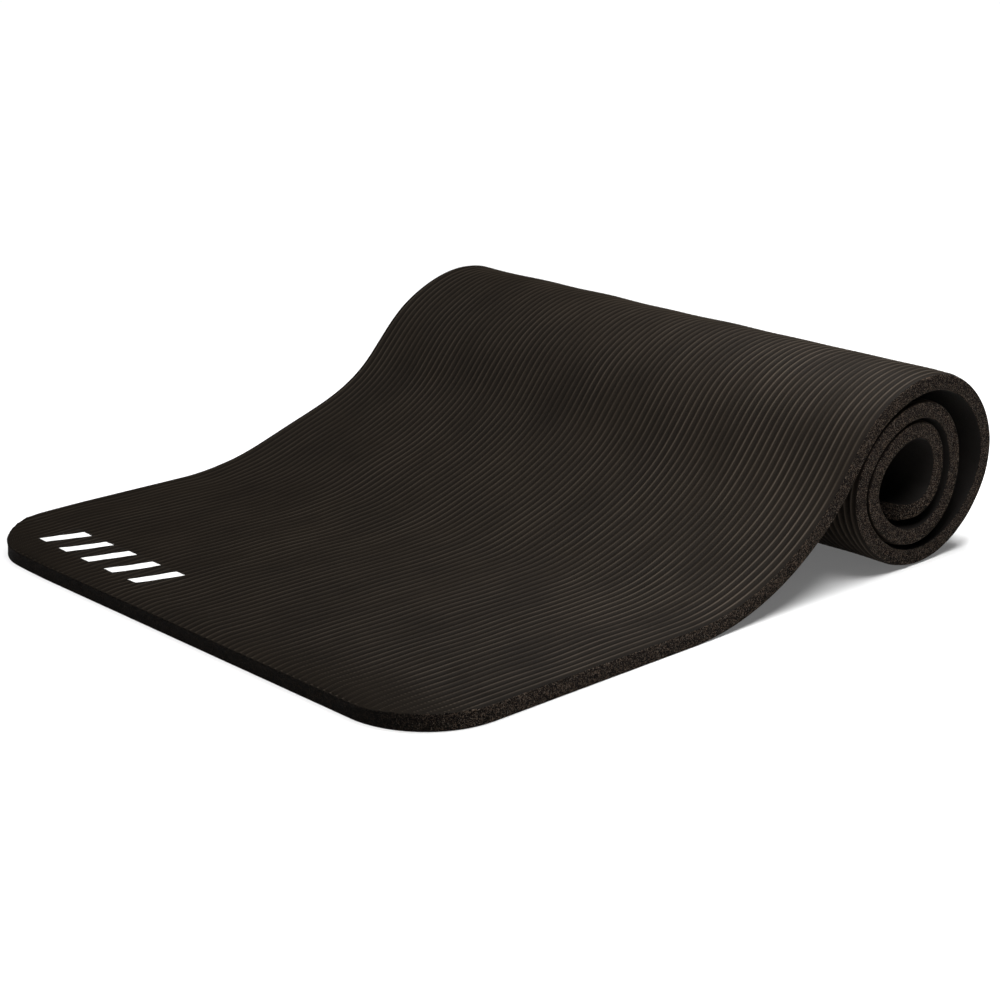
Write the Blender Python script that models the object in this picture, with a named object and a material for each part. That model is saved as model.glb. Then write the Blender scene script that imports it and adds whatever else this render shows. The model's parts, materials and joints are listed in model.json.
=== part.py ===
"""A foam exercise mat, flat at the front and rolled up at the back.

The mat is one sheet of foam. It is followed along its middle surface, in the YZ plane, from the front
edge: a flat stretch on the floor, a rise, and a roll of arcs whose ribbed side is the outer one. Foam
bends everywhere, so the sheet is cut across its width into short panels, each hinged to the one before it
on a line at half its thickness. All hinges open together, and the mat then lies flat.

Metres, +Z up, +Y from the front edge towards the roll. The origin is on the floor, under the middle of
the mat as it lies here.
"""

import math

import bmesh
import bpy
from mathutils import Vector

# The foam sheet.
MAT_WIDTH = 0.600
MAT_THICKNESS = 0.015
CORNER_RADIUS = 0.075
EDGE_CHAMFER = 0.0015
PANEL_GAP = 0.0003

# The middle surface, from the front edge: the flat stretch, the rise, and the arcs of the roll.
FLAT_LENGTH = 0.2905
RISE_RADIUS = 0.249
RISE_TURN = math.radians(54.9)
RISE_PANELS = 6
CREST_RADIUS = 0.119
CREST_PANELS = 4
ROLL_ARC_TURN = math.radians(60.0)
ROLL_RADII = (0.094, 0.061, 0.0965, 0.0945, 0.0465, 0.0815, 0.0555,
              0.062, 0.050, 0.069, 0.0325, 0.061, 0.0335, 0.042, 0.036, 0.036)
TIGHT_RADIUS = 0.045
PANELS_PER_ARC = 3
PANELS_PER_TIGHT_ARC = 2

# The panels' meshes.
FACETS_PER_PANEL = 3
CORNER_STEPS = 9

# The printed emblem: slanted bars near the front left corner.
BAR_COUNT = 5
BAR_LENGTH = 0.040
BAR_WIDTH = 0.012
BAR_PITCH = 0.0345
BAR_SLANT = 0.014
BAR_THICKNESS = 0.0003
EMBLEM_LEFT = -0.236
EMBLEM_FRONT = 0.031

FOAM_COLOUR = (0.021, 0.017, 0.014, 1.0)
PRINT_COLOUR = (0.80, 0.80, 0.78, 1.0)


def clear_scene():
    for item in list(bpy.data.objects):
        bpy.data.objects.remove(item, do_unlink=True)


def plain_material(name, colour, roughness):
    material = bpy.data.materials.new(name)
    material.use_nodes = True
    shader = material.node_tree.nodes["Principled BSDF"]
    shader.inputs["Base Color"].default_value = colour
    shader.inputs["Roughness"].default_value = roughness
    shader.inputs["Metallic"].default_value = 0.0
    material.diffuse_color = colour
    return material


class Station:
    """A place on the middle surface: how far along the sheet, where it is, and which way the sheet heads."""

    def __init__(self, along, y, z, heading):
        self.along = along
        self.y = y
        self.z = z
        self.heading = heading

    def step(self, length, turn):
        """The station after an arc of this length that turns the heading by this angle."""
        chord = length
        if turn:
            chord = length * math.sin(turn / 2) / (turn / 2)
        middle = self.heading + turn / 2
        y = self.y + chord * math.cos(middle)
        z = self.z + chord * math.sin(middle)
        return Station(self.along + length, y, z, self.heading + turn)

    def point(self, across, above, ahead=0.0):
        """A point beside the station: across the width, above the middle surface, and ahead along it."""
        y = self.y - above * math.sin(self.heading) + ahead * math.cos(self.heading)
        z = self.z + above * math.cos(self.heading) + ahead * math.sin(self.heading)
        return Vector((across, y, z))


def panel_plan():
    """The panels after the front one, as (name, length, turn)."""
    plan = []
    for number in range(RISE_PANELS):
        turn = RISE_TURN / RISE_PANELS
        plan.append((f"rise_panel_{number + 1}", RISE_RADIUS * turn, turn))
    for number in range(CREST_PANELS):
        turn = RISE_TURN / CREST_PANELS
        plan.append((f"crest_panel_{number + 1}", CREST_RADIUS * turn, -turn))
    number = 0
    for radius in ROLL_RADII:
        panels = PANELS_PER_TIGHT_ARC if radius < TIGHT_RADIUS else PANELS_PER_ARC
        turn = ROLL_ARC_TURN / panels
        for _ in range(panels):
            number += 1
            plan.append((f"roll_panel_{number:02d}", radius * turn, -turn))
    return plan


def panel_stations(start, length, turn):
    stations = [start]
    for _ in range(FACETS_PER_PANEL):
        stations.append(stations[-1].step(length / FACETS_PER_PANEL, turn / FACETS_PER_PANEL))
    return stations


def sheet_length():
    return FLAT_LENGTH + sum(length for _, length, _ in panel_plan())


def half_width(along):
    """Half the sheet's width at a distance along it: less where its corners are rounded."""
    from_end = min(along, sheet_length() - along)
    into_corner = CORNER_RADIUS - from_end
    if into_corner <= 0:
        return MAT_WIDTH / 2
    inset = CORNER_RADIUS - math.sqrt(max(CORNER_RADIUS ** 2 - into_corner ** 2, 0.0))
    return MAT_WIDTH / 2 - inset


def chord_heading(start, turn):
    return start.heading + turn / 2


def ring(mesh, station, setback_above, setback_below, direction):
    """The sheet's outline across its width at a station, its long edges chamfered.

    At a panel's end the outline is set back from the hinge line: by half the gap, and by more the further
    it is from the middle surface on the side that closes when the mat is opened flat.
    """
    wide = half_width(station.along)
    top = MAT_THICKNESS / 2
    inner = wide - EDGE_CHAMFER
    below_top = top - EDGE_CHAMFER
    outline = [(-inner, top), (-wide, below_top), (-wide, 0.0), (-wide, -below_top), (-inner, -top),
               (inner, -top), (wide, -below_top), (wide, 0.0), (wide, below_top), (inner, top)]
    verts = []
    for across, above in outline:
        slope = setback_above if above > 0 else setback_below
        back = slope * abs(above)
        if direction:
            back += PANEL_GAP / 2
        verts.append(mesh.verts.new(station.point(across, above, -direction * back)))
    return verts


def cap(mesh, verts, facing_back):
    """An end face, folded along the hinge line: its upper half, then its lower half."""
    upper = [verts[9], verts[0], verts[1], verts[2], verts[7], verts[8]]
    lower = [verts[2], verts[3], verts[4], verts[5], verts[6], verts[7]]
    for half in (upper, lower):
        if facing_back:
            half.reverse()
        mesh.faces.new(half)


def relief(opening):
    """The set-back slopes (above, below) of the two end faces at a hinge that opens by this signed angle."""
    slope = math.tan(abs(opening) / 2)
    if opening > 0:
        return slope, 0.0
    return 0.0, slope


def sweep(mesh, stations, start_opening, end_opening):
    """One panel: rings at its stations, joined, with a folded face at each end."""
    rings = []
    for index, station in enumerate(stations):
        if index == 0:
            rings.append(ring(mesh, station, *relief(start_opening), -1))
        elif index == len(stations) - 1:
            rings.append(ring(mesh, station, *relief(end_opening), 1))
        else:
            rings.append(ring(mesh, station, 0.0, 0.0, 0))
    for near, far in zip(rings, rings[1:]):
        count = len(near)
        for side in range(count):
            after = (side + 1) % count
            mesh.faces.new((near[side], near[after], far[after], far[side]))
    cap(mesh, rings[0], False)
    cap(mesh, rings[-1], True)


def front_stations():
    """Stations of the front panel: close together round its corners, then one at its hinge."""
    stations = []
    for step in range(CORNER_STEPS + 1):
        angle = math.pi / 2 * step / CORNER_STEPS
        along = CORNER_RADIUS * (1.0 - math.cos(angle))
        stations.append(Station(along, along, MAT_THICKNESS / 2, 0.0))
    stations.append(Station(FLAT_LENGTH, FLAT_LENGTH, MAT_THICKNESS / 2, 0.0))
    return stations


def make_object(name, mesh_builder, origin, material):
    """An object whose origin is at the given world point, with its mesh shifted to suit."""
    shape = bmesh.new()
    mesh_builder(shape)
    bmesh.ops.translate(shape, vec=-origin, verts=shape.verts)
    bmesh.ops.recalc_face_normals(shape, faces=shape.faces)
    data = bpy.data.meshes.new(name)
    shape.to_mesh(data)
    shape.free()
    data.materials.append(material)
    item = bpy.data.objects.new(name, data)
    bpy.context.scene.collection.objects.link(item)
    return item


def roll_reach():
    """How far the outside of the roll reaches in Y from the front edge."""
    station = Station(FLAT_LENGTH, FLAT_LENGTH, MAT_THICKNESS / 2, 0.0)
    reach = 0.0
    for _, length, turn in panel_plan():
        for station in panel_stations(station, length, turn)[1:]:
            reach = max(reach, station.point(0.0, MAT_THICKNESS / 2).y)
    return reach


def build_panels(material):
    """The front panel and the chain of panels after it, each with its origin on its hinge line."""
    centre = roll_reach() / 2
    plan = panel_plan()
    starts = [Station(FLAT_LENGTH, FLAT_LENGTH - centre, MAT_THICKNESS / 2, 0.0)]
    for _, length, turn in plan:
        starts.append(starts[-1].step(length, turn))
    chords = [0.0]
    chords += [chord_heading(start, turn) for start, (_, _, turn) in zip(starts, plan)]
    openings = [before - after for before, after in zip(chords, chords[1:])]
    openings.append(0.0)

    front = front_stations()
    for station in front:
        station.y -= centre
    previous = make_object("front_panel", lambda mesh: sweep(mesh, front, 0.0, openings[0]),
                           Vector((0.0, -centre, 0.0)), material)
    previous.location = (0.0, -centre, 0.0)
    previous_origin = Vector((0.0, -centre, 0.0))
    for index, (name, length, turn) in enumerate(plan):
        stations = panel_stations(starts[index], length, turn)
        origin = starts[index].point(0.0, 0.0)
        panel = make_object(name, lambda mesh: sweep(mesh, stations, openings[index], openings[index + 1]),
                            origin, material)
        panel.parent = previous
        panel.location = origin - previous_origin
        previous = panel
        previous_origin = origin


def build_emblem(material):
    """Slanted printed bars, a print's thickness proud of the front panel's top."""
    centre = roll_reach() / 2
    base = MAT_THICKNESS + PANEL_GAP
    for number in range(BAR_COUNT):
        left = EMBLEM_LEFT + number * BAR_PITCH
        front = EMBLEM_FRONT - centre
        outline = [(left, front), (left + BAR_WIDTH, front),
                   (left + BAR_WIDTH + BAR_SLANT, front + BAR_LENGTH), (left + BAR_SLANT, front + BAR_LENGTH)]

        def bar(mesh):
            verts = [mesh.verts.new((x, y, base)) for x, y in outline]
            face = mesh.faces.new(verts)
            grown = bmesh.ops.extrude_face_region(mesh, geom=[face])
            raised = [part for part in grown["geom"] if isinstance(part, bmesh.types.BMVert)]
            bmesh.ops.translate(mesh, vec=(0.0, 0.0, BAR_THICKNESS), verts=raised)

        origin = Vector((left, front, base))
        item = make_object(f"print_bar_{number + 1}", bar, origin, material)
        item.parent = bpy.data.objects["front_panel"]
        item.location = origin - Vector((0.0, -centre, 0.0))


def main():
    clear_scene()
    foam = plain_material("foam", FOAM_COLOUR, 0.75)
    print_ink = plain_material("print", PRINT_COLOUR, 0.6)
    build_panels(foam)
    build_emblem(print_ink)


main()
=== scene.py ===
"""The looks of a thick foam exercise mat, flat at the front and rolled up at the back.

The CAD model holds the mat as hinged panels. Here it is one continuous sheet of ribbed foam, drawn along
a smooth line through the hinges, and cut into pieces at the middle of each panel. A piece crosses one hinge,
from the middle of the panel before it to the middle of the next.

Two sets of coordinates are used. The sheet's own: across its width, along it from the front edge, and above
its middle surface. The world's: the CAD frame, in metres, with +Z up and +Y from the front edge to the roll.
"""

import json
import math

import bpy
import numpy as np
from mathutils import Matrix, Vector

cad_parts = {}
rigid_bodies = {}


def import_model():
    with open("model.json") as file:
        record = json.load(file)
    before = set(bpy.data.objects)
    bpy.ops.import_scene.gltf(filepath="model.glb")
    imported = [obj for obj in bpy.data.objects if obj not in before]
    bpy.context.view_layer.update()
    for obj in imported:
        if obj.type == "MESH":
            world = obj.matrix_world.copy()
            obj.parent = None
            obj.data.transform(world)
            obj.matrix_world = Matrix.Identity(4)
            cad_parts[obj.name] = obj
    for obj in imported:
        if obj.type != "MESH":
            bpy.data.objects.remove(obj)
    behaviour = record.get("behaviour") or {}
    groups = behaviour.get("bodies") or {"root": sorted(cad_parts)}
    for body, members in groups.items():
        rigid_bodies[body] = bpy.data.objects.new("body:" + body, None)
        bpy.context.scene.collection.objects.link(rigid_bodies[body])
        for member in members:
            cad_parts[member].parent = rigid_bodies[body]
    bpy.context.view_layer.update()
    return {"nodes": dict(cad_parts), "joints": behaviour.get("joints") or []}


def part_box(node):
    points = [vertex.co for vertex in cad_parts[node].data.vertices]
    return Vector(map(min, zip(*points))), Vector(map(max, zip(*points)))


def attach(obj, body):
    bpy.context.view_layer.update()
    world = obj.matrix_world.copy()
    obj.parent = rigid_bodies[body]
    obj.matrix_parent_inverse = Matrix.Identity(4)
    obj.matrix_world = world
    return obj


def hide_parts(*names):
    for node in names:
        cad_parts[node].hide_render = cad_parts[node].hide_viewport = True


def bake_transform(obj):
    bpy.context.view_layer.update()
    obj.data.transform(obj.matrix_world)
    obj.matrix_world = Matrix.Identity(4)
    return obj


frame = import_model()

# The sheet, as the CAD model has it.
FRONT_LOW, FRONT_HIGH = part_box("front_panel")
HALF_WIDTH = (FRONT_HIGH.x - FRONT_LOW.x) / 2
HALF_THICKNESS = (FRONT_HIGH.z - FRONT_LOW.z) / 2
CORNER_RADIUS = 0.075

# The edge: a soft rounding at the top, a cut wall a little behind it, and a small rounding at the bottom.
# The skin reaches over the first steps of the top's rounding, and the cut wall is slightly hollow.
TOP_ROUNDING = 0.0022
TOP_STEPS = 5
SKIN_STEPS = 2
WALL_SETBACK = 0.0003
WALL_HOLLOW = 0.0003
WALL_STEPS = 10
BOTTOM_ROUNDING = 0.0006
BOTTOM_STEPS = 2

# The ribs run along the sheet, on its top. They fade out at its rim, and the printing presses them flat.
RIB_COUNT = 83
RIB_PITCH = 2 * (HALF_WIDTH - TOP_ROUNDING) / RIB_COUNT
RIB_HEIGHT = 0.0012
RIB_SHARPNESS = 2.8
RIB_FADE = 0.0018
RIM_DEPTH = 0.3 * RIB_HEIGHT
PRESSED_SHARE = 0.85
PRESSED_MARGIN = 0.006
COLUMNS_PER_RIB = 8
COLUMNS_PER_UNDERSIDE_CELL = 8

# How finely the sheet is divided along its length.
FLAT_ROW = 0.005
CURVED_ROW = 0.003
CORNER_ROWS = 26
ROW_CLEARANCE = 0.0012
LEAN_END = 0.015

# The top isn't quite level: foam keeps slow, shallow dents, and it rolls down towards the front edge.
DENT_DEPTH = 0.00035
DENT_LENGTHS = (0.25, 0.06)
DENT_MARGIN = 0.02
EDGE_WANDER = 0.0005
WANDER_LENGTHS = (0.06, 0.012)
WAVE_COUNT = 14
FRONT_FALL = 0.0024
FRONT_FALL_LENGTH = 0.022

# The left side lifts off the floor sooner than the right, and goes over the top lower.
# Each is a height, and the places along the sheet where it starts and ends.
LEFT_SIDE_LIFT = (0.0150, 0.235, 0.505)
LEFT_SIDE_DIP = (-0.0060, 0.480, 0.700)

# The front left corner is rounder than the others: its foam is drawn in towards the mat's middle.
CORNER_DRAW = 0.013
CORNER_DRAW_REACH = 0.14

# The CAD's inner end is the panel's points within this distance of the furthest from its hinge.
INNER_END_DEPTH = 0.0004

# How far a piece's bend keeps from its seams.
BEND_MARGIN = 0.0002

SEED = 7


def emblem_box():
    """The emblem's lower and upper corners, across and along the sheet."""
    boxes = [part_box(node) for node in frame["nodes"] if node.startswith("print_bar")]
    low = Vector((min(box[0].x for box in boxes), min(box[0].y for box in boxes) - FRONT_LOW.y))
    high = Vector((max(box[1].x for box in boxes), max(box[1].y for box in boxes) - FRONT_LOW.y))
    return low, high


EMBLEM_LOW, EMBLEM_HIGH = emblem_box()


# ---------------------------------------------------------------- the sheet's middle line

def hinge_points():
    """The hinges' places along the middle line, (y, z), from the front panel's to the last."""
    return np.array([joint["pos_m"][1:] for joint in frame["joints"]])


def inner_end(last_hinge):
    """The middle of the sheet's inner end, from the last panel's corners furthest from its hinge."""
    panel = frame["nodes"][frame["joints"][-1]["child"]]
    points = np.array([vertex.co[1:] for vertex in panel.data.vertices])
    distance = np.linalg.norm(points - last_hinge, axis=1)
    furthest = points[distance > distance.max() - INNER_END_DEPTH]
    return furthest.mean(axis=0)


def second_derivatives(at, value, start_slope):
    """A cubic spline's second derivatives: the slope is given at its start, and its end is free."""
    count = len(at)
    step = np.diff(at)
    matrix = np.zeros((count, count))
    right = np.zeros(count)
    matrix[0, 0] = step[0] / 3
    matrix[0, 1] = step[0] / 6
    right[0] = (value[1] - value[0]) / step[0] - start_slope
    for i in range(1, count - 1):
        matrix[i, i - 1] = step[i - 1] / 6
        matrix[i, i] = (step[i - 1] + step[i]) / 3
        matrix[i, i + 1] = step[i] / 6
        right[i] = (value[i + 1] - value[i]) / step[i] - (value[i] - value[i - 1]) / step[i - 1]
    matrix[-1, -1] = 1.0
    return np.linalg.solve(matrix, right)


def spline(at, value, start_slope, samples):
    """A cubic spline through the values, and its slope, at this many samples in each interval."""
    second = second_derivatives(at, value, start_slope)
    values = []
    slopes = []
    for i in range(len(at) - 1):
        step = at[i + 1] - at[i]
        b = np.arange(samples) / samples
        a = 1.0 - b
        bow = ((a ** 3 - a) * second[i] + (b ** 3 - b) * second[i + 1]) * step ** 2 / 6
        values.append(a * value[i] + b * value[i + 1] + bow)
        bend = ((3 * b ** 2 - 1) * second[i + 1] - (3 * a ** 2 - 1) * second[i]) * step / 6
        slopes.append((value[i + 1] - value[i]) / step + bend)
    step = at[-1] - at[-2]
    values.append([value[-1]])
    slopes.append([(value[-1] - value[-2]) / step + step * (second[-2] + 2 * second[-1]) / 6])
    return np.concatenate(values), np.concatenate(slopes)


class MiddleLine:
    """The sheet's middle line: straight to the first hinge, then smooth through the rest."""

    SAMPLES = 120

    def __init__(self):
        hinges = hinge_points()
        knots = np.vstack([hinges, inner_end(hinges[-1])])
        at = np.concatenate([[0.0], np.cumsum(np.linalg.norm(np.diff(knots, axis=0), axis=1))])
        y, y_slope = spline(at, knots[:, 0], 1.0, self.SAMPLES)
        z, z_slope = spline(at, knots[:, 1], 0.0, self.SAMPLES)
        heading = np.unwrap(np.arctan2(z_slope, y_slope))
        flat = hinges[0, 0] - FRONT_LOW.y
        along = flat + np.concatenate([[0.0], np.cumsum(np.hypot(np.diff(y), np.diff(z)))])
        self.along = np.concatenate([[0.0], along])
        self.y = np.concatenate([[FRONT_LOW.y], y])
        self.z = np.concatenate([[knots[0, 1]], z])
        self.heading = np.concatenate([[0.0], heading])
        self.hinges = along[:-1:self.SAMPLES]
        self.length = along[-1]

    def world(self, sheet):
        """Points given across, along and above the sheet, as points in the world."""
        across, along, above = sheet[..., 0], sheet[..., 1], sheet[..., 2]
        y = np.interp(along, self.along, self.y)
        z = np.interp(along, self.along, self.z)
        heading = np.interp(along, self.along, self.heading)
        return np.stack([across, y - above * np.sin(heading), z + above * np.cos(heading)], axis=-1)

    def point(self, along):
        return Vector(self.world(np.array([0.0, along, 0.0])))

    def turn(self, start, end):
        """How far the heading turns between two places, in radians."""
        headings = np.interp([start, end], self.along, self.heading)
        return abs(float(headings[1] - headings[0]))


LINE = MiddleLine()


# ---------------------------------------------------------------- the sheet's surface

def seams():
    """Where the sheet is cut into pieces: the middle of each panel between two hinges."""
    return (LINE.hinges[:-1] + LINE.hinges[1:]) / 2


def corner_rows():
    """Distances from an end, close together there, so that a rounded corner is evenly divided."""
    angles = np.linspace(0.0, math.pi / 2, CORNER_ROWS + 1)
    return TOP_ROUNDING + (CORNER_RADIUS - TOP_ROUNDING) * (1 - np.cos(angles))


def evenly(start, end, longest):
    count = max(1, math.ceil((end - start) / longest))
    return np.linspace(start, end, count + 1)[1:-1]


def is_clear(place, cuts):
    return min(abs(place - cut) for cut in cuts) > ROW_CLEARANCE


def row_places():
    """Every row's distance along the sheet, and which rows are seams."""
    cuts = list(seams())
    front = list(corner_rows())
    back = [LINE.length - place for place in front]
    ends = [place for place in front[:-1] + back if is_clear(place, cuts)]
    fixed = sorted(ends + [front[-1], LINE.hinges[0]] + cuts)
    rows = []
    for start, end in zip(fixed, fixed[1:]):
        rows.append(start)
        longest = FLAT_ROW if end <= LINE.hinges[0] else CURVED_ROW
        rows.extend(evenly(start, end, longest))
    rows.append(fixed[-1])
    rows = np.array(rows)
    return rows, [int(np.argmin(np.abs(rows - cut))) for cut in cuts]


def edge_profile():
    """The edge from the top's border to the underside's: (distance out from the border, height) pairs."""
    points = []
    for step in range(TOP_STEPS + 1):
        angle = math.pi / 2 * step / TOP_STEPS
        points.append((TOP_ROUNDING * math.sin(angle),
                       HALF_THICKNESS - TOP_ROUNDING * (1 - math.cos(angle))))
    wall = TOP_ROUNDING - WALL_SETBACK
    wall_top = HALF_THICKNESS - TOP_ROUNDING - WALL_SETBACK
    wall_bottom = BOTTOM_ROUNDING - HALF_THICKNESS
    for step in range(WALL_STEPS + 1):
        share = step / WALL_STEPS
        hollow = WALL_HOLLOW * math.sin(math.pi * share)
        points.append((wall - hollow, wall_top + (wall_bottom - wall_top) * share))
    for step in range(1, BOTTOM_STEPS + 1):
        angle = math.pi / 2 * step / BOTTOM_STEPS
        points.append((wall - BOTTOM_ROUNDING * (1 - math.cos(angle)),
                       wall_bottom - BOTTOM_ROUNDING * math.sin(angle)))
    return np.array(points)


def smooth_step(value):
    value = np.clip(value, 0.0, 1.0)
    return value * value * (3 - 2 * value)


def border(rows, inset):
    """Half the width and the place along of each row's border, this far in from the sheet's outline.

    The rows are those of the top's own border. Close to an end the border is followed squarely outwards, so
    it also moves along the sheet; away from the ends it stays in its row.
    """
    from_front = rows
    from_back = LINE.length - rows
    from_end = np.minimum(from_front, from_back)
    own = CORNER_RADIUS - TOP_ROUNDING
    cosine = np.clip((CORNER_RADIUS - from_end) / own, 0.0, 1.0)
    angle = np.arccos(cosine)
    radius = CORNER_RADIUS - inset
    in_row = np.arccos(np.clip((CORNER_RADIUS - from_end) / radius, 0.0, 1.0))
    stay = smooth_step((from_end - TOP_ROUNDING) / LEAN_END)
    angle = angle * (1 - stay) + in_row * stay
    half = HALF_WIDTH - CORNER_RADIUS + radius * np.sin(angle)
    moved = CORNER_RADIUS - radius * np.cos(angle)
    beyond = from_end >= CORNER_RADIUS
    half = np.where(beyond, HALF_WIDTH - inset, half)
    moved = np.where(beyond, from_end, moved)
    along = np.where(from_front <= from_back, moved, LINE.length - moved)
    return half, along


def waves(draw, count, longest, shortest):
    """Slow random waves over the sheet: their directions, lengths and starts."""
    length = shortest * (longest / shortest) ** draw.random(count)
    angle = draw.random(count) * math.pi
    start = draw.random(count) * 2 * math.pi
    turn = 2 * math.pi / length
    return turn * np.cos(angle), turn * np.sin(angle), start


def wave_sum(pattern, across, along):
    total = np.zeros(np.broadcast(across, along).shape)
    for turn_across, turn_along, start in zip(*pattern):
        total += np.sin(turn_across * across + turn_along * along + start)
    return total / math.sqrt(len(pattern[0]) / 2)


DRAW = np.random.default_rng(SEED)
DENTS = waves(DRAW, WAVE_COUNT, *DENT_LENGTHS)
WANDER = waves(DRAW, WAVE_COUNT, *WANDER_LENGTHS)


def outline_distance(across, along):
    """How far a point is inside the sheet's outline."""
    side = HALF_WIDTH - np.abs(across)
    end = np.minimum(along, LINE.length - along)
    in_corner = (side < CORNER_RADIUS) & (end < CORNER_RADIUS)
    corner = CORNER_RADIUS - np.hypot(CORNER_RADIUS - side, CORNER_RADIUS - end)
    return np.where(in_corner, corner, np.minimum(side, end))


def pressed(across, along):
    """How much the printing has pressed the ribs flat: 1 under the emblem, 0 away from it."""
    outside_x = np.maximum(EMBLEM_LOW.x - across, across - EMBLEM_HIGH.x)
    outside_y = np.maximum(EMBLEM_LOW.y - along, along - EMBLEM_HIGH.y)
    return 1 - smooth_step(np.maximum(outside_x, outside_y) / PRESSED_MARGIN)


def crest_share(across):
    """How near a rib's crest a place is: 1 on it, 0 in the valley."""
    return 0.5 + 0.5 * np.cos(2 * math.pi * across / RIB_PITCH)


def rib_height(across, along):
    """The top's height from the ribs' crests, so zero or less."""
    ridge = crest_share(across) ** RIB_SHARPNESS
    fade = smooth_step((outline_distance(across, along) - TOP_ROUNDING * 0.5) / RIB_FADE)
    depth = RIB_HEIGHT * (1 - PRESSED_SHARE * pressed(across, along))
    return -depth * (1 - ridge) * fade - RIM_DEPTH * (1 - fade)


def top_height(across, along):
    inside = smooth_step((outline_distance(across, along) - TOP_ROUNDING) / DENT_MARGIN)
    dents = DENT_DEPTH * wave_sum(DENTS, across, along) * inside
    fall = FRONT_FALL * np.clip(1 - along / FRONT_FALL_LENGTH, 0.0, 1.0) ** 2
    return HALF_THICKNESS + rib_height(across, along) + dents - fall


def lift(across, along):
    """How far the sheet stands off the middle line on its left side."""
    total = 0.0
    for height, start, end in (LEFT_SIDE_LIFT, LEFT_SIDE_DIP):
        share = np.clip((along - start) / (end - start), 0.0, 1.0)
        total = total + height * (0.5 - 0.5 * np.cos(2 * math.pi * share))
    return total * np.clip(0.5 - across / (2 * HALF_WIDTH), 0.0, 1.0)


def settled(sheet_points):
    """The sheet's points as it lies: its left side off the middle line, its front left corner drawn in."""
    across, along, above = sheet_points[..., 0], sheet_points[..., 1], sheet_points[..., 2]
    distance = np.hypot(across + HALF_WIDTH, along)
    draw = CORNER_DRAW * np.clip(1 - distance / CORNER_DRAW_REACH, 0.0, 1.0) ** 2 / math.sqrt(2)
    return np.stack([across + draw, along + draw, above + lift(across, along)], axis=-1)


class Sheet:
    """The whole sheet as rings of points, one ring at each row, and the closing rows of its two ends."""

    def __init__(self):
        self.rows, self.cuts = row_places()
        self.columns = RIB_COUNT * COLUMNS_PER_RIB + 1
        self.under = (self.columns - 1) // COLUMNS_PER_UNDERSIDE_CELL + 1
        self.profile = edge_profile()
        share = np.linspace(-1.0, 1.0, self.columns)
        top = self.level(share, TOP_ROUNDING)
        top[..., 2] = top_height(top[..., 0], top[..., 1])
        right, left = self.sides(top)
        last_out = self.profile[-1, 0]
        low = self.level(np.linspace(-1.0, 1.0, self.under), TOP_ROUNDING - last_out)
        low[..., 2] = -HALF_THICKNESS
        self.ring = np.concatenate([top, right, low[:, ::-1], left[:, ::-1]], axis=1)
        self.front = self.closing_rows(0, top)
        self.back = self.closing_rows(-1, top)

    def level(self, share, inset):
        """Points evenly across each row, from border to border, at this inset from the outline."""
        half, along = border(self.rows, inset)
        return np.stack([half[:, None] * share[None, :],
                         np.repeat(along[:, None], len(share), axis=1),
                         np.zeros((len(self.rows), len(share)))], axis=-1)

    def sides(self, top):
        """The two long edges between the top's border and the underside's."""
        right = []
        left = []
        for out, height in self.profile[1:-1]:
            inset = TOP_ROUNDING - out
            for sign, points in ((1, right), (-1, left)):
                half, along = border(self.rows, inset)
                wander = self.wander(sign * half, along, height)
                half, along = border(self.rows, inset + wander)
                drop = self.drop(top[:, -1 if sign > 0 else 0, 2], height)
                points.append(np.stack([sign * half, along, height + drop], axis=-1))
        return np.stack(right, axis=1), np.stack(left, axis=1)

    @staticmethod
    def wander(across, along, height):
        """The cut wanders in and out a little, most at its middle height."""
        middle = 1.0 - abs(height / HALF_THICKNESS) ** 4
        pattern = np.clip(wave_sum(WANDER, across * 1.3, along + height * 2), -1.5, 1.5)
        return EDGE_WANDER * middle * (0.5 + pattern / 3)

    @staticmethod
    def drop(top, height):
        """The edge's upper points go down with the top's border where that lies low."""
        return (top - HALF_THICKNESS) * np.clip(height / HALF_THICKNESS, 0.0, 1.0) ** 2

    def closing_rows(self, row, top):
        """The end's edge: the same profile, followed from the top's first or last row to the underside."""
        across = top[row, :, 0]
        end = top[row, 0, 1]
        sign = -1.0 if row == 0 else 1.0
        rows = []
        for out, height in self.profile[1:]:
            place = end + sign * out
            wander = self.wander(across, place, height)
            if out == self.profile[-1, 0] and height == self.profile[-1, 1]:
                wander = 0.0
            drop = self.drop(top[row, :, 2], height)
            along = np.broadcast_to(place - sign * wander, across.shape)
            rows.append(np.stack([across, along, height + drop], axis=-1))
        return np.array(rows)


SHEET = Sheet()


# ---------------------------------------------------------------- the sheet's mesh

class RingOrder:
    """Where a ring's points are: the top left to right, the right edge, back below, up the left edge."""

    def __init__(self, sheet):
        self.top = sheet.columns
        self.edge = len(sheet.profile) - 2
        self.under = sheet.under
        self.count = self.top + self.under + 2 * self.edge

    def right(self, level):
        return self.top + level

    def low(self, column):
        return self.top + self.edge + self.under - 1 - column

    def left(self, level):
        return self.top + self.edge + self.under + self.edge - 1 - level

    def materials(self):
        """Each ring segment's material: skin on the top and its rounding, cut foam, and the underside."""
        edge = [SKIN] * SKIN_STEPS + [CUT] * (self.edge + 1 - SKIN_STEPS)
        return [SKIN] * (self.top - 1) + edge + [UNDER] * (self.under - 1) + edge[::-1]


SKIN, CUT, UNDER = 0, 1, 2


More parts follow.
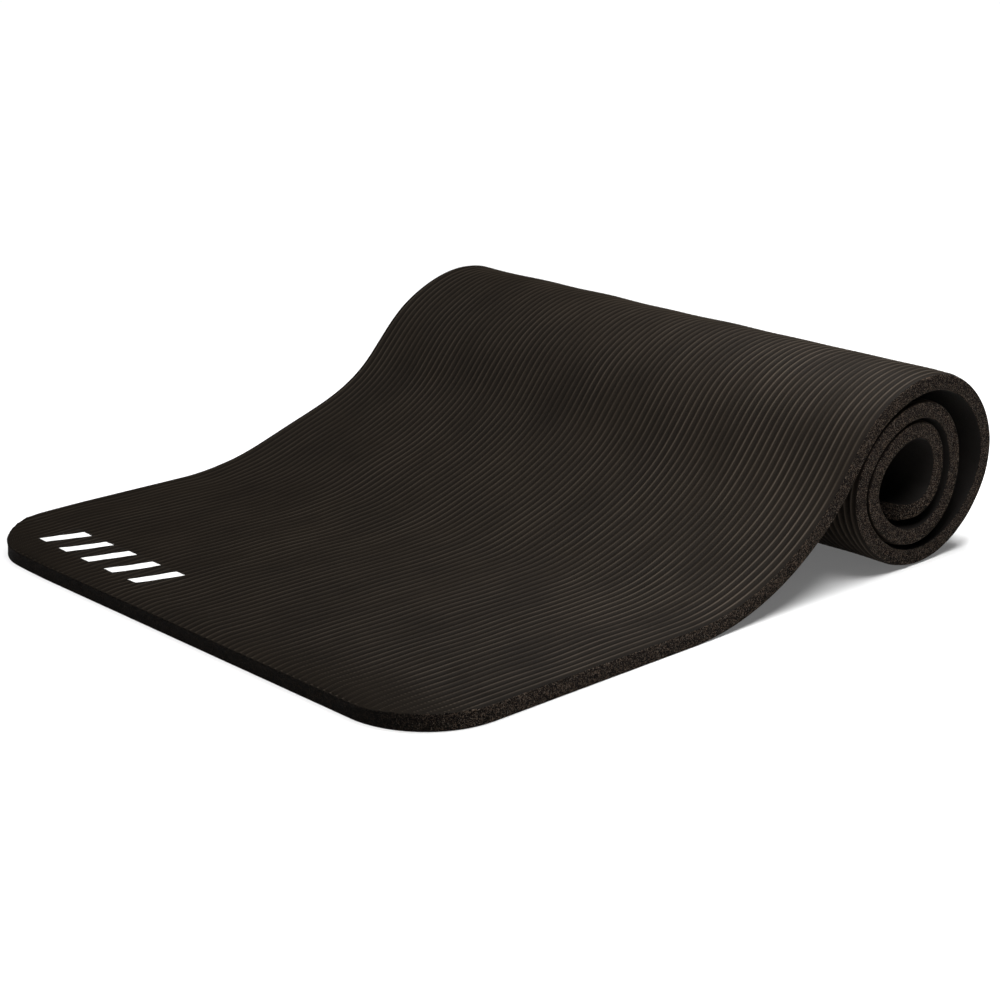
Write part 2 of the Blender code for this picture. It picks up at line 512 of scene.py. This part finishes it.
class SheetMesh:
    """Every point, outer face and normal of the whole sheet, which the pieces are taken from."""

    def __init__(self, sheet):
        self.order = RingOrder(sheet)
        rows = len(sheet.rows)
        ring_points = sheet.ring.reshape(-1, 3)
        self.front_ids, front_new = self.closing_ids(sheet.front, 0, len(ring_points))
        first_back = len(ring_points) + len(front_new)
        self.back_ids, back_new = self.closing_ids(sheet.back, rows - 1, first_back)
        self.sheet_points = np.concatenate([ring_points, front_new, back_new])
        self.points = LINE.world(settled(self.sheet_points))
        self.rows = rows
        self.faces = self.outer_faces()
        self.normals = self.point_normals()

    def ids(self, row, places):
        return row * self.order.count + np.asarray(places)

    def closing_ids(self, closing, row, first_new):
        """Point numbers of an end's closing rows. Their border points are the ring's own."""
        order = self.order
        columns = np.arange(order.top)
        ids = np.full((len(closing) + 1, order.top), -1)
        ids[0] = self.ids(row, columns)
        for level in range(order.edge):
            ids[level + 1, 0] = self.ids(row, order.left(level))
            ids[level + 1, -1] = self.ids(row, order.right(level))
        cells = np.arange(order.under)
        ids[-1, ::COLUMNS_PER_UNDERSIDE_CELL] = self.ids(row, order.low(cells))
        new = ids[1:] < 0
        ids[1:][new] = first_new + np.arange(new.sum())
        return ids, closing[new]

    def tube_faces(self, row):
        """The faces between a row's ring and the next one's, as lists of points and their materials."""
        here = self.ids(row, np.arange(self.order.count))
        after = np.roll(here, -1)
        quads = np.stack([here, after, after + self.order.count, here + self.order.count], axis=1)
        return quads.tolist(), self.order.materials()

    def with_fine_border(self, faces, ids, at_front):
        """The underside's faces at an end take in all the points of its finely divided border."""
        order = self.order
        for cell in range(order.under - 1):
            left = cell * COLUMNS_PER_UNDERSIDE_CELL
            fine = ids[-1, left:left + COLUMNS_PER_UNDERSIDE_CELL + 1].tolist()
            place = order.low(cell + 1)
            face = faces[place]
            if at_front:
                faces[place] = fine[::-1] + face[2:]
            else:
                faces[place] = face[:2] + fine
        return faces

    def closing_faces(self, ids, at_front):
        quads = np.stack([ids[:-1, :-1], ids[1:, :-1], ids[1:, 1:], ids[:-1, 1:]], axis=-1)
        if not at_front:
            quads = quads[..., ::-1]
        levels = [SKIN] * SKIN_STEPS + [CUT] * (len(ids) - 1 - SKIN_STEPS)
        materials = [material for material in levels for _ in range(ids.shape[1] - 1)]
        return quads.reshape(-1, 4).tolist(), materials

    def outer_faces(self):
        """The outer faces by row, from its ring to the next. The first and last have the ends' faces too."""
        by_row = []
        for row in range(self.rows - 1):
            faces, materials = self.tube_faces(row)
            if row == 0:
                faces = self.with_fine_border(faces, self.front_ids, True)
                extra, extra_materials = self.closing_faces(self.front_ids, True)
                faces, materials = faces + extra, materials + extra_materials
            if row == self.rows - 2:
                faces = self.with_fine_border(faces, self.back_ids, False)
                extra, extra_materials = self.closing_faces(self.back_ids, False)
                faces, materials = faces + extra, materials + extra_materials
            by_row.append((faces, materials))
        return by_row

    def point_normals(self):
        """The points' normals, from all the outer faces round each, so pieces are shaded as one sheet."""
        quads = np.array([face for faces, _ in self.faces for face in faces if len(face) == 4])
        corners = self.points[quads]
        across = np.cross(corners[:, 2] - corners[:, 0], corners[:, 3] - corners[:, 1])
        normals = np.zeros_like(self.points)
        for corner in range(4):
            for axis in range(3):
                normals[:, axis] += np.bincount(quads[:, corner], across[:, axis], len(normals))
        length = np.linalg.norm(normals, axis=1, keepdims=True)
        return normals / np.maximum(length, 1e-12)

    def cap_faces(self, row, at_end):
        """Flat faces that close a piece at a seam, inside the sheet."""
        order = self.order
        faces = []
        for cell in range(order.under - 1):
            left = cell * COLUMNS_PER_UNDERSIDE_CELL
            top = list(range(left, left + COLUMNS_PER_UNDERSIDE_CELL + 1))
            faces.append(top + [order.low(cell + 1), order.low(cell)])
        right = [order.right(level) for level in range(order.edge)]
        faces.append([order.top - 1] + right + [order.low(order.under - 1)])
        left = [order.left(level) for level in range(order.edge)]
        faces.append([order.low(0)] + left[::-1] + [0])
        faces = [self.ids(row, face).tolist() for face in faces]
        if not at_end:
            faces = [face[::-1] for face in faces]
        return faces


def piece_mesh(name, whole, first_row, last_row):
    """The mesh of the sheet from one row to another, closed at its seams."""
    faces = []
    materials = []
    for row in range(first_row, last_row):
        row_faces, row_materials = whole.faces[row]
        faces += row_faces
        materials += row_materials
    outer = len(faces)
    if first_row > 0:
        faces += whole.cap_faces(first_row, False)
    if last_row < whole.rows - 1:
        faces += whole.cap_faces(last_row, True)
    materials += [CUT] * (len(faces) - outer)

    sizes = np.array([len(face) for face in faces])
    corners = np.concatenate([np.array(face) for face in faces])
    used, corners = np.unique(corners, return_inverse=True)
    mesh = bpy.data.meshes.new(name)
    mesh.vertices.add(len(used))
    mesh.vertices.foreach_set("co", whole.points[used].astype(np.float32).ravel())
    mesh.loops.add(len(corners))
    mesh.loops.foreach_set("vertex_index", corners.astype(np.int32))
    mesh.polygons.add(len(faces))
    mesh.polygons.foreach_set("loop_start", (np.cumsum(sizes) - sizes).astype(np.int32))
    mesh.polygons.foreach_set("material_index", np.array(materials, np.int32))
    mesh.polygons.foreach_set("use_smooth", np.arange(len(faces)) < outer)
    mesh.update(calc_edges=True)
    add_point_values(mesh, whole.sheet_points[used])
    normals = whole.normals[used][corners]
    normals[int(sizes[:outer].sum()):] = 0.0
    mesh.normals_split_custom_set(normals)
    return mesh


def add_point_values(mesh, sheet_points):
    """Each point's place on the sheet, for patterns that stay on it as it bends, and how near a crest."""
    place = mesh.attributes.new("sheet", "FLOAT_VECTOR", "POINT")
    place.data.foreach_set("vector", sheet_points.astype(np.float32).ravel())
    crest = crest_share(sheet_points[:, 0])
    value = mesh.attributes.new("crest", "FLOAT", "POINT")
    value.data.foreach_set("value", crest.astype(np.float32))


def add_object(name, mesh, materials):
    for material in materials:
        mesh.materials.append(material)
    item = bpy.data.objects.new(name, mesh)
    bpy.context.scene.collection.objects.link(item)
    return item


def bend_span(hinge, before, after):
    """Where a piece starts and ends its bend. The seams' points are outside it."""
    margin = HALF_THICKNESS * math.sin(LINE.turn(before, after) / 2) + BEND_MARGIN
    start = LINE.point(before)
    end = LINE.point(after)
    inward = (end - start).normalized() * margin
    return start + inward, end - inward


def build_sheet(materials):
    """One piece of foam for each hinge, from the middle of the panel before it to the middle of the next."""
    whole = SheetMesh(SHEET)
    cuts = [0] + SHEET.cuts + [whole.rows - 1]
    for index, joint in enumerate(frame["joints"]):
        name = "mat_" + joint["child"].replace("_panel", "")
        mesh = piece_mesh(name, whole, cuts[index], cuts[index + 1])
        piece = add_object(name, mesh, materials)
        hinge = LINE.hinges[index]
        before = SHEET.rows[cuts[index]]
        after = SHEET.rows[cuts[index + 1]]
        if index == 0:
            before = 2 * hinge - after
            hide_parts(joint["parent"])
        start, end = bend_span(hinge, before, after)
        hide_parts(joint["child"])
        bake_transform(piece)


# ---------------------------------------------------------------- the printed emblem

BAR_SLANT = 0.014
INK_PROUD = 0.00008
INK_SUNK = 0.00005
BAR_STEP = 0.0008


def ink_mesh(name, low, high):
    """A slanted bar of ink: a grid that follows the ribs, a hair above the foam, closed below."""
    width = high.x - low.x - BAR_SLANT
    length = high.y - low.y
    columns = math.ceil(width / BAR_STEP)
    rows = math.ceil(length / BAR_STEP / 3)
    share_x, share_y = np.meshgrid(np.linspace(0, 1, columns + 1), np.linspace(0, 1, rows + 1))
    across = low.x + share_x * width + share_y * BAR_SLANT
    along = low.y - FRONT_LOW.y + share_y * length
    foam = top_height(across, along)
    layers = []
    for above in (INK_PROUD, -INK_SUNK):
        layer = np.stack([across, along, foam + above], axis=-1)
        layers.append(LINE.world(settled(layer)).reshape(-1, 3))
    points = np.concatenate(layers)
    ids = np.arange((rows + 1) * (columns + 1)).reshape(rows + 1, columns + 1)
    upper = np.stack([ids[:-1, :-1], ids[:-1, 1:], ids[1:, 1:], ids[1:, :-1]], axis=-1).reshape(-1, 4)
    lower = upper[:, ::-1] + ids.size
    around = np.concatenate([ids[0], ids[1:, -1], ids[-1, -2::-1], ids[-2:0:-1, 0]])
    after = np.roll(around, -1)
    sides = np.stack([around, around + ids.size, after + ids.size, after], axis=-1)
    mesh = bpy.data.meshes.new(name)
    mesh.from_pydata(points.tolist(), [], np.concatenate([upper, lower, sides]).tolist())
    smooth = np.arange(len(mesh.polygons)) < len(upper)
    mesh.polygons.foreach_set("use_smooth", smooth)
    flat = np.stack([across, along, foam], axis=-1).reshape(-1, 3)
    add_point_values(mesh, np.concatenate([flat, flat]))
    return mesh


def build_emblem(material):
    for name in sorted(node for node in frame["nodes"] if node.startswith("print_bar")):
        low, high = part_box(name)
        bar = add_object(name.replace("print", "ink"), ink_mesh(name, low, high), [material])
        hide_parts(name)
        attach(bar, "front_panel")


# ---------------------------------------------------------------- materials

class Shader:
    """A material being made: its Principled shader, and short ways to add and join nodes."""

    def __init__(self, name):
        self.material = bpy.data.materials.new(name)
        self.material.use_nodes = True
        self.nodes = self.material.node_tree.nodes
        self.links = self.material.node_tree.links
        self.principled = self.nodes["Principled BSDF"]
        self.place = self.add("ShaderNodeAttribute", attribute_name="sheet").outputs["Vector"]

    def add(self, kind, **settings):
        node = self.nodes.new(kind)
        for key, value in settings.items():
            setattr(node, key, value)
        return node

    def put(self, node, name, value):
        if isinstance(value, bpy.types.NodeSocket):
            self.links.new(value, node.inputs[name])
        else:
            node.inputs[name].default_value = value

    def set(self, **values):
        for name, value in values.items():
            self.put(self.principled, name.replace("_", " "), value)

    def noise(self, scale, detail=2.0, roughness=0.5, vector=None):
        """Noise whose features are about 1 / scale metres across."""
        node = self.add("ShaderNodeTexNoise")
        self.put(node, "Vector", vector or self.place)
        self.put(node, "Scale", scale)
        self.put(node, "Detail", detail)
        self.put(node, "Roughness", roughness)
        return node.outputs["Fac"]

    def cells(self, scale):
        """Cells about 1 / scale metres across."""
        node = self.add("ShaderNodeTexVoronoi", feature="F1")
        self.put(node, "Vector", self.place)
        self.put(node, "Scale", scale)
        return node

    def stretched(self, scale):
        """The sheet's coordinates, multiplied by a scale in each direction."""
        node = self.add("ShaderNodeVectorMath", operation="MULTIPLY")
        self.links.new(self.place, node.inputs[0])
        node.inputs[1].default_value = scale
        return node.outputs["Vector"]

    def map(self, value, low, high, to_low=0.0, to_high=1.0):
        node = self.add("ShaderNodeMapRange", clamp=True)
        self.put(node, "Value", value)
        for name, number in (("From Min", low), ("From Max", high), ("To Min", to_low), ("To Max", to_high)):
            self.put(node, name, number)
        return node.outputs["Result"]

    def math(self, operation, a, b):
        node = self.add("ShaderNodeMath", operation=operation)
        for index, value in enumerate((a, b)):
            if isinstance(value, bpy.types.NodeSocket):
                self.links.new(value, node.inputs[index])
            else:
                node.inputs[index].default_value = value
        return node.outputs["Value"]

    def mix(self, share, a, b):
        """Colour a where share is 0 and colour b where it is 1."""
        node = self.add("ShaderNodeMix", data_type="RGBA")
        self.put(node, "Factor", share)
        for index, value in ((6, a), (7, b)):
            if isinstance(value, bpy.types.NodeSocket):
                self.links.new(value, node.inputs[index])
            else:
                node.inputs[index].default_value = (*value, 1.0)
        return node.outputs[2]

    def bump(self, height, distance, strength=1.0, under=None):
        node = self.add("ShaderNodeBump")
        self.put(node, "Height", height)
        self.put(node, "Distance", distance)
        self.put(node, "Strength", strength)
        if under is not None:
            self.links.new(under, node.inputs["Normal"])
        return node.outputs["Normal"]

    def part(self, axis):
        """One of the sheet's own coordinates: X across, Y along, Z above."""
        node = self.add("ShaderNodeSeparateXYZ")
        self.links.new(self.place, node.inputs["Vector"])
        return node.outputs[axis]

    def value(self, name):
        return self.add("ShaderNodeAttribute", attribute_name=name).outputs["Fac"]


def skin_material():
    """The ribbed top: matt, mottled skin, with painted shade between the ribs, and crests paler from wear
    and a painted highlight.

    The painted highlight on the crests grows towards the right side of the mat.
    """
    s = Shader("foam_skin")
    mottle = s.map(s.noise(16.0, 4.0, 0.6), 0.35, 0.65)
    colour = s.mix(mottle, (0.0052, 0.0037, 0.0024), (0.0078, 0.0056, 0.0036))
    grain = s.noise(1400.0, 3.0, 0.6)
    colour = s.mix(s.map(grain, 0.45, 0.75, 0.0, 0.6), colour, (0.0165, 0.0126, 0.0093))
    # A patchy strength for the crests' paleness, which is part wear and part painted highlight.
    wear_and_highlight = s.map(s.noise(30.0, 5.0, 0.6, s.stretched((1.0, 0.3, 1.0))), 0.35, 0.65, 0.3, 1.0)
    crest = s.math("MULTIPLY", s.map(s.value("crest"), 0.80, 0.98, 0.0, 0.95), wear_and_highlight)
    # Painted highlight: the crests are painted paler towards the right side of the mat, where the light
    # falls strongest.
    highlight_to_right = s.map(s.part("X"), 0.06, 0.28)
    pale = s.mix(highlight_to_right, (0.0265, 0.0210, 0.0157), (0.0480, 0.0385, 0.0300))
    colour = s.mix(crest, colour, pale)
    # Painted shade: the grooves between the ribs are painted darker.
    valley = s.map(s.value("crest"), 0.0, 0.70, 0.60, 0.0)
    colour = s.mix(valley, colour, (0.0022, 0.0017, 0.0013))
    scuff = s.map(s.noise(45.0, 6.0, 0.7, s.stretched((1.0, 0.35, 1.0))), 0.56, 0.72)
    roughness = s.map(s.math("ADD", grain, s.math("MULTIPLY", scuff, 0.4)), 0.3, 1.0, 0.58, 0.80)
    fine = s.bump(grain, 0.00016, 0.8)
    pores = s.cells(520.0).outputs["Distance"]
    normal = s.bump(pores, 0.00012, 0.3, fine)
    s.set(Base_Color=colour, Roughness=roughness, Normal=normal, Specular_IOR_Level=0.035)
    return s.material


def cut_material():
    """The cut edge: open cells, dark in their hollows and brownish on their walls.

    It is darkest at the sheet's two ends, a painted shade.
    """
    s = Shader("foam_cut")
    depth = s.cells(820.0).outputs["Distance"]
    fine = s.cells(1500.0).outputs["Distance"]
    big = s.noise(300.0, 4.0, 0.7)
    walls = s.math("MULTIPLY", s.map(depth, 0.43, 0.64), s.map(big, 0.42, 0.58, 0.2, 1.0))
    walls = s.math("MULTIPLY", walls, s.map(fine, 0.28, 0.52, 0.15, 1.0))
    along = s.part("Y")
    from_end = s.math("MINIMUM", along, s.math("SUBTRACT", LINE.length, along))
    # Painted shade: the cut walls and their specks are darker towards the sheet's two ends, which lie in
    # their own shadow.
    lit = s.map(from_end, 0.004, 0.055, 0.13, 1.0)
    colour = s.mix(s.math("MULTIPLY", walls, lit), (0.0005, 0.0004, 0.0003), (0.058, 0.0415, 0.0305))
    speck = s.math("MULTIPLY", s.map(s.noise(1300.0, 2.0, 0.6), 0.62, 0.68), lit)
    colour = s.mix(speck, colour, (0.150, 0.1250, 0.1030))
    coarse = s.bump(big, 0.0007, 0.9)
    normal = s.bump(depth, 0.0006, 1.0, coarse)
    s.set(Base_Color=colour, Roughness=s.map(big, 0.3, 0.7, 0.78, 0.95), Normal=normal,
          Specular_IOR_Level=0.03)
    return s.material


def under_material():
    """The underside: smooth moulded skin with a faint grain."""
    s = Shader("foam_underside")
    mottle = s.map(s.noise(22.0, 4.0, 0.6), 0.35, 0.65)
    colour = s.mix(mottle, (0.0060, 0.0052, 0.0046), (0.0088, 0.0076, 0.0068))
    grain = s.noise(700.0, 3.0, 0.6)
    s.set(Base_Color=colour, Roughness=s.map(grain, 0.3, 0.7, 0.48, 0.62),
          Normal=s.bump(grain, 0.00015, 0.5), Specular_IOR_Level=0.12)
    return s.material


def ink_material():
    """White screen print on foam: matt, a little uneven, thin in specks."""
    s = Shader("white_ink")
    speck = s.map(s.noise(1500.0, 3.0, 0.6), 0.66, 0.74, 0.0, 0.75)
    tone = s.map(s.noise(90.0, 4.0, 0.6), 0.35, 0.65)
    colour = s.mix(tone, (0.84, 0.84, 0.83), (0.92, 0.92, 0.91))
    colour = s.mix(speck, colour, (0.30, 0.29, 0.28))
    grain = s.noise(1100.0, 3.0, 0.6)
    s.set(Base_Color=colour, Roughness=s.map(grain, 0.3, 0.7, 0.5, 0.65),
          Normal=s.bump(grain, 0.0001, 0.4))
    return s.material


# ---------------------------------------------------------------- floor, light and camera

def build_floor():
    s = Shader("floor")
    s.set(Base_Color=(0.82, 0.82, 0.82, 1.0), Roughness=0.9, Specular_IOR_Level=0.1,
          Emission_Color=(1.0, 1.0, 1.0, 1.0), Emission_Strength=0.12)
    bpy.ops.mesh.primitive_circle_add(vertices=96, radius=14.0, fill_type="NGON")
    floor = bpy.context.object
    floor.name = "floor"
    floor.data.materials.append(s.material)


def add_sun(name, towards, width, strength):
    """A light at a great distance, in the direction given, this many degrees wide."""
    data = bpy.data.lights.new(name, "SUN")
    data.angle = math.radians(width)
    data.energy = strength
    light = bpy.data.objects.new(name, data)
    light.rotation_mode = "QUATERNION"
    light.rotation_quaternion = Vector(towards).to_track_quat("Z", "Y")
    bpy.context.scene.collection.objects.link(light)


def add_soft_box(name, place, aim, size, power):
    """A round soft box at a place, facing a point."""
    data = bpy.data.lights.new(name, "AREA")
    data.shape = "DISK"
    data.size = size
    data.energy = power
    light = bpy.data.objects.new(name, data)
    light.location = place
    light.rotation_mode = "QUATERNION"
    light.rotation_quaternion = (Vector(place) - Vector(aim)).to_track_quat("Z", "Y")
    bpy.context.scene.collection.objects.link(light)


def build_world():
    """A dim room whose walls are white near the floor: its brightness falls with the height looked at."""
    world = bpy.data.worlds.new("studio")
    world.use_nodes = True
    nodes = world.node_tree.nodes
    links = world.node_tree.links
    direction = nodes.new("ShaderNodeTexCoord")
    split = nodes.new("ShaderNodeSeparateXYZ")
    links.new(direction.outputs["Generated"], split.inputs["Vector"])
    fall = nodes.new("ShaderNodeMapRange")
    links.new(split.outputs["Z"], fall.inputs["Value"])
    for name, value in (("From Min", 0.06), ("From Max", 0.30), ("To Min", 1.0), ("To Max", 0.05)):
        fall.inputs[name].default_value = value
    background = nodes["Background"]
    background.inputs["Color"].default_value = (1.0, 1.0, 1.0, 1.0)
    links.new(fall.outputs["Result"], background.inputs["Strength"])
    bpy.context.scene.world = world


def build_light():
    bpy.context.scene.view_settings.view_transform = "Standard"
    build_world()
    add_sun("front", (-0.25, -0.55, 0.81), 50.0, 2.0)
    add_sun("top", (-0.10, -0.05, 0.99), 60.0, 1.7)
    add_soft_box("side_box", (0.38, 0.02, 0.58), (0.24, 0.12, 0.15), 0.3, 2.8)
    add_soft_box("back_box", (0.15, 0.45, 0.70), (0.2, 0.15, 0.1), 0.4, 5.6)


# The camera's place from the middle of the mat's front edge, its direction, and its view.
CAMERA_FROM_FRONT = (1.401, -0.987, 0.665)
CAMERA_AZIMUTH = math.radians(45.97)
CAMERA_ELEVATION = math.radians(17.93)
CAMERA_ROLL = math.radians(0.69)
SENSOR = 36.0
LENS = 81.92


def build_camera():
    data = bpy.data.cameras.new("camera")
    data.sensor_width = SENSOR
    data.lens = LENS
    camera = bpy.data.objects.new("camera", data)
    bpy.context.scene.collection.objects.link(camera)
    turn = Matrix.Rotation(CAMERA_AZIMUTH, 4, "Z")
    tilt = Matrix.Rotation(math.pi / 2 - CAMERA_ELEVATION, 4, "X")
    roll = Matrix.Rotation(CAMERA_ROLL, 4, "Z")
    place = Vector((0.0, FRONT_LOW.y, 0.0)) + Vector(CAMERA_FROM_FRONT)
    camera.matrix_world = Matrix.Translation(place) @ turn @ tilt @ roll
    bpy.context.scene.camera = camera


build_camera()
build_sheet([skin_material(), cut_material(), under_material()])
build_emblem(ink_material())
build_floor()
build_light()
